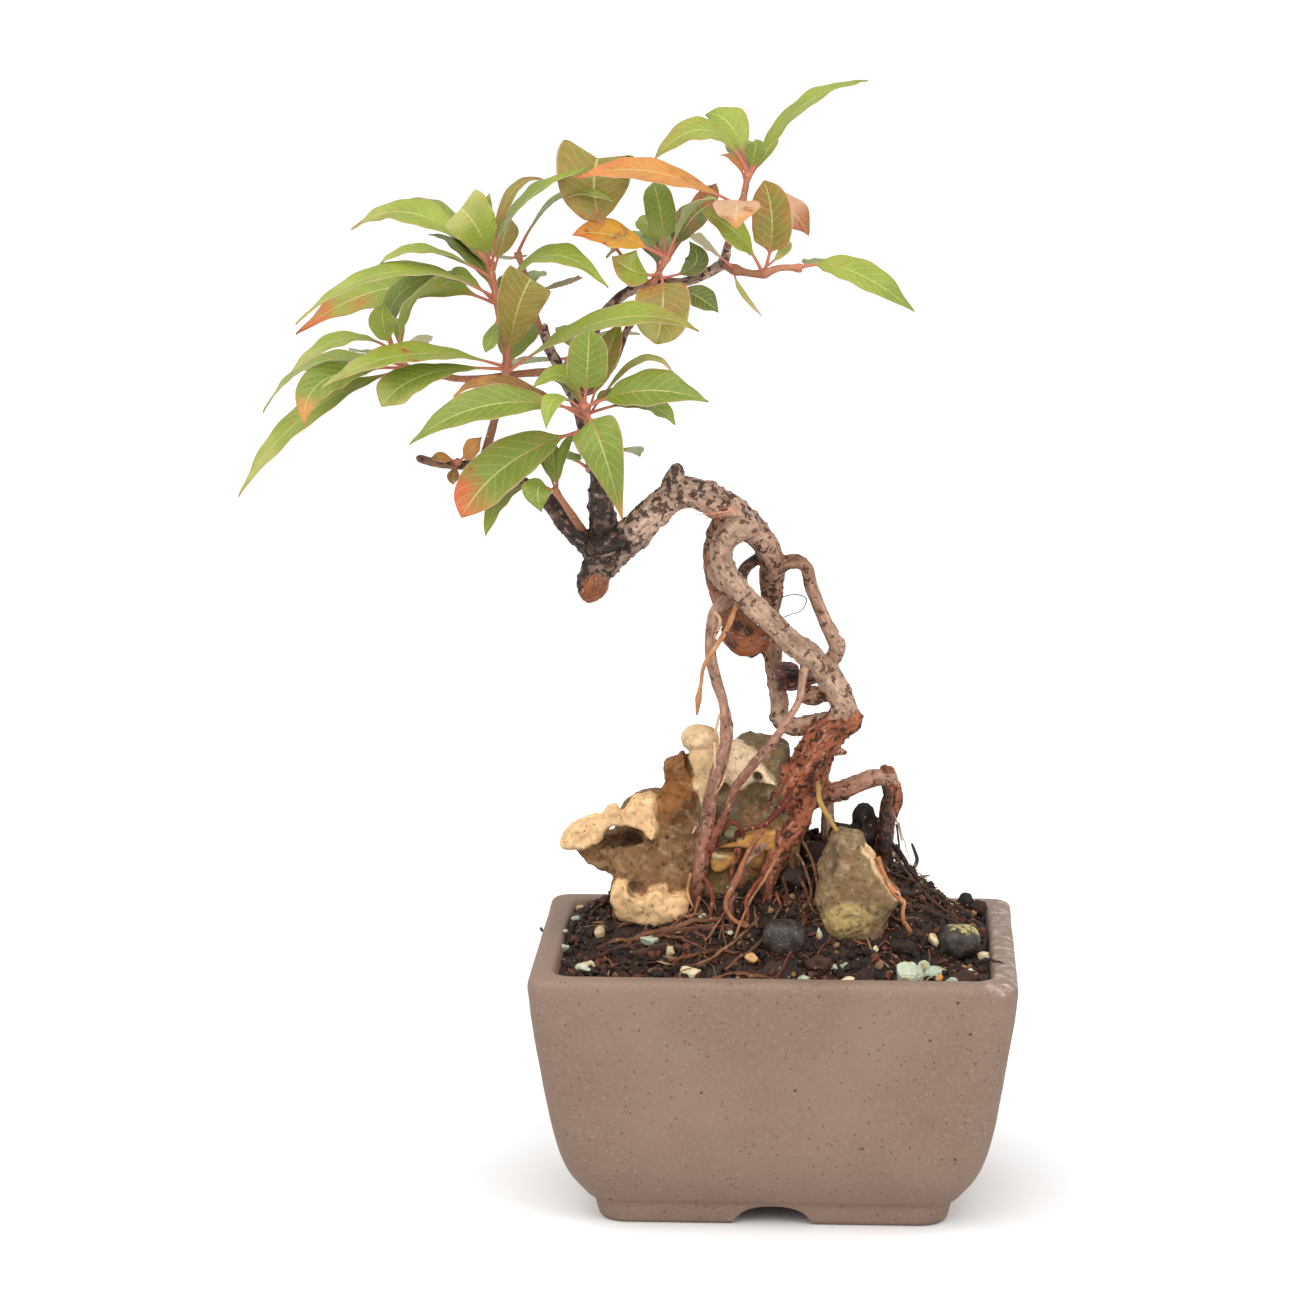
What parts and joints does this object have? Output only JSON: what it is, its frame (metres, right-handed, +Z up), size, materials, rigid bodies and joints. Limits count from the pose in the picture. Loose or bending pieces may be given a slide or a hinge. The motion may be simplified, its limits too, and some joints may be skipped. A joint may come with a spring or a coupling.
{
  "type": "potted bonsai tree",
  "caption": "Exposed-root firebush bonsai with a contorted trunk and whorled leaves, growing over limestone in a rectangular clay pot.",
  "frame": {"origin": "centre of the whole plant's bounding box, on the plane that the pot's foot stands on", "axes": "+Z up, +X to the right of the pot's front long side, and the front faces -Y"},
  "size_m": [0.246, 0.118, 0.3585],
  "materials": {
    "clay": "unglazed taupe stoneware, matt, with fine flecks and a little lime bloom",
    "plastic": "black plastic mesh",
    "soil": "dark damp bark and peat crumb",
    "bark": "rough tan bark with dark brown and red-brown patches",
    "limestone": "pitted cream to brown limestone",
    "ochre_stone": "rough ochre stone",
    "pebble": "dark grey satin pebble",
    "zeolite": "chalky pale green mineral grain",
    "pumice": "cream pumice grain",
    "leaf": "soft satin green leaf flushed with orange and red, pink-red stalk",
    "rust_leaf": "dry rust-brown leaf"
  },
  "bodies": {
    "root": {"pot": "clay", "drain_screen": "plastic", "soil": "soil", "tree_wood": "bark", "limestone_large": "limestone", "limestone_small": "limestone", "ochre_stone": "ochre_stone", "pebble_left": "pebble", "pebble_right": "pebble", "grain_01": "zeolite", "grain_02": "zeolite", "grain_03": "zeolite", "grain_04": "zeolite", "grain_05": "pumice", "grain_06": "zeolite", "grain_07": "zeolite", "grain_08": "zeolite", "grain_09": "pumice", "grain_10": "zeolite", "grain_11": "zeolite", "grain_12": "zeolite", "shoot_left": "leaf", "shoot_far_left": "leaf", "shoot_crown_left": "leaf", "shoot_middle": "leaf", "shoot_top": "leaf", "shoot_right": "leaf", "shoot_front": "leaf", "shoot_low": "leaf", "spur_rust": "rust_leaf", "shoot_back": "leaf", "shoot_crown_back": "leaf"}
  },
  "joints": []
}
